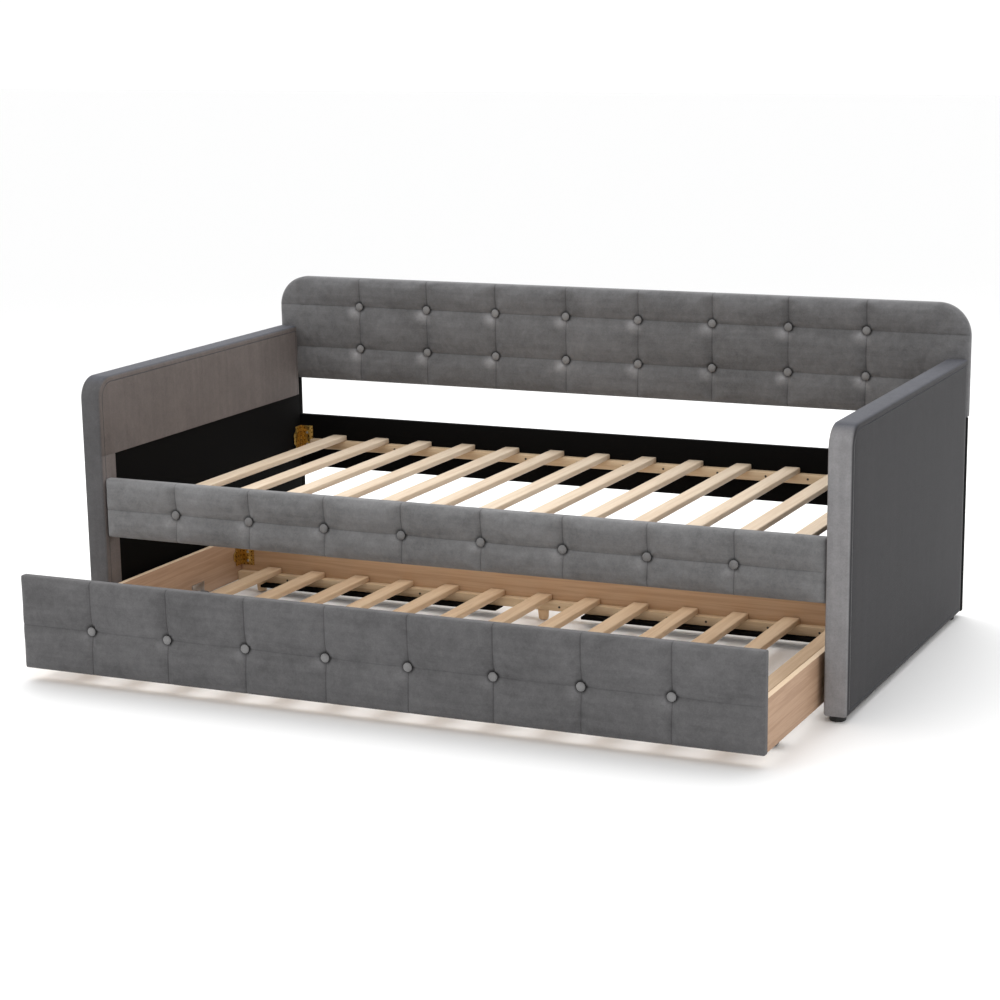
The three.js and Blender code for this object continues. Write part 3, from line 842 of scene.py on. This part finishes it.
def tufted_pad(name, node, columns, rows, mat, corner_radius=0, cell=0.0064,
               wrap_past=0.0008):
    """A tufted velvet cover over a padded board, closed at the back where it is stapled."""
    low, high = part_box(node)
    size = high - low
    middle = (low + high) / 2
    deselect()
    bpy.ops.mesh.primitive_grid_add(
        x_subdivisions=round(size.x / cell), y_subdivisions=round(size.z / cell),
        size=1, location=(middle.x, low.y, middle.z), rotation=(math.pi / 2, 0, 0))
    pad = bpy.context.object
    pad.name = name
    pad.scale = (size.x, size.z, 1)
    bpy.ops.object.transform_apply(location=True, rotation=True, scale=True)

    bpy.ops.object.mode_set(mode="EDIT")
    for x in columns:
        for step in seam_lines:
            bpy.ops.mesh.select_all(action="SELECT")
            bpy.ops.mesh.bisect(plane_co=(x + step, 0, 0), plane_no=(1, 0, 0))
    for z in rows:
        for step in seam_lines:
            bpy.ops.mesh.select_all(action="SELECT")
            bpy.ops.mesh.bisect(plane_co=(0, 0, z + step), plane_no=(0, 0, 1))
    select_edges(pad, lambda edge: edge.is_boundary)
    back_plane = high.y + wrap_past
    depth = back_plane - low.y
    for share in (0.34, 0.56, 0.10):
        bpy.ops.mesh.extrude_region_move(
            TRANSFORM_OT_translate={"value": (0, depth * share, 0)})
    bpy.ops.object.mode_set(mode="OBJECT")

    held = []
    for vertex in pad.data.vertices:
        x, y, z = vertex.co
        share = (y - low.y) / depth
        to_edge = min(x - low.x, high.x - x, z - low.z, high.z - z)
        to_column = min(abs(x - c) for c in columns)
        to_row = min(abs(z - r) for r in rows)
        hold = 0.0
        if share > 0.2 or to_edge < 0.004:
            hold = 1.0
        elif math.hypot(to_column, to_row) < 0.0125:
            hold = 1.0
        elif to_column < 0.005 or to_row < 0.004:
            hold = 0.75
        held.append(hold)
        if share < 0.01:
            rise = tufted_surface(x, z, columns, rows, low, high)
            inner = min(to_edge / edge_round, 1)
            rounded = edge_round * 0.6 * (1 - math.sqrt(1 - (1 - inner) ** 2))
            y = low.y - rise + rounded
        inset = edge_round * 0.25 * (1 - min(share / 0.3, 1))
        side_x = (x - middle.x) / (size.x / 2)
        side_z = (z - middle.z) / (size.z / 2)
        if abs(side_x) > 0.9999:
            x -= math.copysign(inset, side_x)
        if abs(side_z) > 0.9999:
            z -= math.copysign(inset, side_z)
        x, z = corner_in(x, z, low, high, corner_radius)
        vertex.co = (x, y, z)

    settle_cloth(pad, held, pressure=2.6, most=0.0045)
    smooth = pad.modifiers.new("smooth", "SUBSURF")
    smooth.levels = 1
    smooth.render_levels = 1
    apply_modifier(pad, smooth)
    for vertex in pad.data.vertices:
        x, y, z = vertex.co
        to_edge = min(x - low.x, high.x - x, z - low.z, high.z - z)
        if y < low.y + depth * 0.45 and to_edge > 0.0005:
            vertex.co.y += fine_creases(x, z, columns, rows)
            vertex.co.y = min(vertex.co.y, low.y + deepest)
    bpy.ops.object.mode_set(mode="EDIT")
    select_edges(pad, lambda edge: edge.is_boundary)
    bpy.ops.mesh.edge_face_add()
    bpy.ops.mesh.select_all(action="SELECT")
    bpy.ops.mesh.normals_make_consistent(inside=False)
    bpy.ops.object.mode_set(mode="OBJECT")
    bpy.ops.object.shade_smooth_by_angle(angle=math.radians(50))
    pad.data.materials.append(mat)
    return pad


def even_row(count, pitch, middle):
    return [middle + (i - (count - 1) / 2) * pitch for i in range(count)]


button_radius = 0.0112
# The buttons' velvet is painted paler than the panels': a painted highlight on the same velvet.
button_velvet = velvet("velvet_button", (0.200, 0.197, 0.197), (40, 40, 40), 0.1, 0.2, 0.4)[0]


def covered_button(name, x, y, z):
    """A domed button covered in the same velvet, painted paler as a painted highlight, with its rim
    tucked under.
    """
    deselect()
    bpy.ops.mesh.primitive_uv_sphere_add(segments=28, ring_count=14, radius=button_radius,
                                         location=(x, y, z), rotation=(math.pi / 2, 0, 0))
    button = bpy.context.object
    button.name = name
    bpy.ops.object.transform_apply(location=True, rotation=True, scale=True)
    for vertex in button.data.vertices:
        out = vertex.co - Vector((x, y, z))
        front = -out.y / button_radius
        angle = math.atan2(out.z, out.x)
        if front > 0:
            flat = 0.46 * front ** 0.85
            out.y = -button_radius * flat
        else:
            out.y *= 0.55
            out.x *= 1 + 0.22 * front
            out.z *= 1 + 0.22 * front
        crease = 0.00035 * math.sin(5 * angle + 40 * x) * (1 - abs(front))
        out.y += crease
        vertex.co = Vector((x, y, z)) + out
    bpy.ops.object.shade_smooth()
    button.data.materials.append(button_velvet)
    return button


def add_buttons(prefix, body, columns, rows, face):
    for row, z in enumerate(rows):
        for column, x in enumerate(columns):
            button = covered_button(f"{prefix}_button_{row + 1}_{column + 1}", x, face, z)
            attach(button, body)


rest_low, rest_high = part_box("backrest_pad")
backrest_columns = even_row(8, 0.2213, -0.007)
backrest_rows = [rest_high.z - 0.083, rest_high.z - 0.208]
# The backrest's velvet is painted a little darker than the front rail's: painted shade on one
# velvet.
backrest_velvet = panel_velvet("velvet_backrest", (0.128, 0.127, 0.130), 0.2213, -0.007,
                               backrest_rows, 1.3)
backrest = tufted_pad("backrest_cover", "backrest_pad", backrest_columns, backrest_rows,
                      backrest_velvet, corner_radius=0.09)
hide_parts("backrest_pad")
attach(backrest, "frame")
add_buttons("backrest", "frame", backrest_columns, backrest_rows, rest_low.y + 0.0035)

# Black cloth closes the back of the backrest, turned in a little from its edge.

deselect()
bpy.ops.mesh.primitive_cube_add(size=1, location=(0, rest_high.y + 0.0013, 0.703))
dust_cloth = bpy.context.object
dust_cloth.name = "backrest_dust_cloth"
dust_cloth.scale = (2.052, 0.0010, 0.262)
bpy.ops.object.transform_apply(location=True, rotation=True, scale=True)
bpy.ops.object.mode_set(mode="EDIT")
select_edges(dust_cloth, lambda edge: abs(edge.verts[0].co.y - edge.verts[1].co.y) > 0.0005
             and edge.verts[0].co.z > 0.75)
bpy.ops.mesh.bevel(offset=0.078, segments=10, affect="EDGES")
select_faces(dust_cloth, lambda face: face.normal.y > 0.9)
bpy.ops.mesh.inset(thickness=0.006, depth=0.0004)
bpy.ops.mesh.inset(thickness=0.002, depth=-0.0006)
bpy.ops.object.mode_set(mode="OBJECT")
dust_cloth.data.materials.append(lining_cloth)
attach(dust_cloth, "frame")

# ---- Front rail ---------------------------------------------------------------------------
# The same build as the backrest, lower, with one row of buttons.

rail_low, rail_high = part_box("front_rail_pad")
rail_columns = even_row(8, 0.2200, -0.006)
rail_rows = [rail_low.z + 0.076]
# The front rail's velvet is painted lighter than the backrest's and the trundle front's: painted
# light on one velvet.
rail_velvet = panel_velvet("velvet_front_rail", (0.172, 0.171, 0.173), 0.2200, -0.006,
                           rail_rows, 0.45)
rail_cover = tufted_pad("front_rail_cover", "front_rail_pad", rail_columns, rail_rows,
                        rail_velvet)
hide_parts("front_rail_pad")
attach(rail_cover, "frame")
add_buttons("front_rail", "frame", rail_columns, rail_rows, rail_low.y + 0.0035)

# ---- Trundle front ------------------------------------------------------------------------
# The trundle's face is made like the front rail, and rolls out with the trundle.

front_low, front_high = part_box("trundle_front_pad")
front_columns = even_row(8, 0.21975, -0.006)
front_rows = [front_low.z + 0.115]
# The trundle front's velvet is painted darkest of the three: painted shade on one velvet.
front_velvet = panel_velvet("velvet_trundle_front", (0.104, 0.102, 0.104), 0.21975, -0.006,
                            front_rows, 0.45)
front_cover = tufted_pad("trundle_front_cover", "trundle_front_pad", front_columns, front_rows,
                         front_velvet)
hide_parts("trundle_front_pad")
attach(front_cover, "trundle")
add_buttons("trundle_front", "trundle", front_columns, front_rows, front_low.y + 0.0035)

# ---- Trundle box --------------------------------------------------------------------------
# Three boards of beech laminate stand behind the trundle's face. Their grain runs along them,
# and their top and bottom edges are banded in a paler strip.

# The side boards' beech is painted darker than the back board's: painted shade on the same
# laminate.
beech_along = wood("beech_along", (0.62, 0.42, 0.265), (0.40, 0.235, 0.130), (1.6, 60, 60), 0.75,
                   bump=0.08)
beech_across = wood("beech_across", (0.50, 0.335, 0.225), (0.30, 0.175, 0.105), (60, 1.6, 60), 0.75,
                    bump=0.08)
beech_edge = wood("beech_edge", (0.78, 0.60, 0.42), (0.64, 0.46, 0.30), (20, 20, 60), 0.4,
                  bump=0.05)


def band_edges(board):
    """Gives a board's top and bottom faces the paler edging."""
    board.data.materials.append(beech_edge)
    for face in board.data.polygons:
        if face.normal.z > 0.7 or face.normal.z < -0.7:
            face.material_index = 1


trundle_back_board = eased_copy("trundle_back", "trundle_back_board", "trundle", beech_along,
                                0.0010)
band_edges(trundle_back_board)
for side_name in ("right", "left"):
    side_board = eased_copy(f"trundle_{side_name}_side", f"trundle_{side_name}_side_board",
                            "trundle", beech_across, 0.0010)
    band_edges(side_board)

# ---- Trundle deck -------------------------------------------------------------------------
# Thirteen pine slats let a millimetre into two ledgers, which are screwed to the trundle's
# face and to its back board.

deck_low, deck_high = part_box("trundle_slat_deck")
deck_pitch = 0.1415
deck_slat_width = 0.045
deck_slat_bottom = 0.0555
deck_ledger_depth = 0.023
deck_ledger_top = 0.056


def rounded_board(name, low, high, mat, body, ease):
    """A board made from its two corners, with rounded edges."""
    low, high = Vector(low), Vector(high)
    deselect()
    bpy.ops.mesh.primitive_cube_add(size=1, location=(low + high) / 2)
    board = bpy.context.object
    board.name = name
    board.scale = high - low
    bpy.ops.object.transform_apply(location=True, rotation=True, scale=True)
    bpy.ops.object.mode_set(mode="EDIT")
    bpy.ops.mesh.select_all(action="SELECT")
    bpy.ops.mesh.bevel(offset=ease, segments=4, affect="EDGES")
    bpy.ops.object.mode_set(mode="OBJECT")
    bpy.ops.object.shade_smooth_by_angle(angle=math.radians(35))
    board.data.materials.append(mat)
    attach(board, body)
    return board


deck_pine = wood("deck_pine", (0.70, 0.53, 0.36), (0.48, 0.31, 0.18), (40, 1.8, 40), 0.7, seed=7.0)
for end, near, far in (("front", deck_low.y, deck_low.y + deck_ledger_depth),
                       ("back", deck_high.y - deck_ledger_depth, deck_high.y)):
    ledger = rounded_board(f"trundle_{end}_ledger_board", (deck_low.x, near, deck_low.z),
                           (deck_high.x, far, deck_ledger_top), pine_along, "trundle",
                           0.0016)
    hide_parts("trundle_slat_deck")
for number in range(13):
    middle_x = (number - 6) * deck_pitch
    slat = rounded_board(
        f"trundle_slat_board_{number + 1}",
        (middle_x - deck_slat_width / 2, deck_low.y + 0.001, deck_slat_bottom),
        (middle_x + deck_slat_width / 2, deck_high.y - 0.001, deck_high.z), deck_pine,
        "trundle", 0.0034)
    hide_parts("trundle_slat_deck")
for gap in range(12):
    middle_x = (gap - 5.5) * deck_pitch
    spots = (middle_x - 0.019, middle_x + 0.021) if gap % 3 == 0 else (middle_x + 0.012,)
    for count, x in enumerate(spots):
        screw(f"trundle_ledger_screw_{gap + 1}_{count + 1}",
              (x, deck_high.y - deck_ledger_depth + sunk, deck_low.z + 0.012), (0, -1, 0),
              *ledger_screw, dark_steel, "trundle", "zinc_steel")

# ---- Trundle brackets ---------------------------------------------------------------------
# The same kind of folded plate, shorter, in the four corners of the trundle above its deck.

for side_name, side in (("left", -1), ("right", 1)):
    for end in ("front", "back"):
        dress_bracket(f"trundle_bracket_{side_name}_{end}", "trundle", side, end == "front")

# ---- Runners and pegs ---------------------------------------------------------------------
# Two black strips lie under the back ledger, and three tapered pegs of turned pine stop the
# trundle's back from dropping.

for side_name in ("right", "left"):
    eased_copy(f"trundle_{side_name}_runner", f"trundle_{side_name}_runner_strip", "trundle",
               lining_cloth, 0.0010)
peg_pine = wood("peg_pine", (0.72, 0.52, 0.33), (0.55, 0.36, 0.20), (34, 34, 3), seed=11.0)
for spot in ("left", "middle", "right"):
    eased_copy(f"trundle_{spot}_peg", f"trundle_{spot}_peg_turned", "trundle", peg_pine,
               0.0018, 3, smooth=45)

# ---- Casters ------------------------------------------------------------------------------
# Four fixed casters inside the trundle's sides: a bent zinc-plated fork screwed to the side,
# and a grey nylon wheel on a steel axle.

grey_nylon = spotted_finish("grey_nylon", (0.10, 0.10, 0.105), (0.13, 0.13, 0.135), 300, 0.5,
                              bump=0.12)
for corner in ("left_front", "right_front", "left_back", "right_back"):
    eased_copy(f"{corner}_caster_mount", f"{corner}_caster_fork", "trundle", bright_zinc,
               0.0005, 1, smooth=40)
    eased_copy(f"{corner}_wheel", f"{corner}_wheel_tyre", f"{corner}_wheel", grey_nylon,
               0.0009, 2, smooth=40)
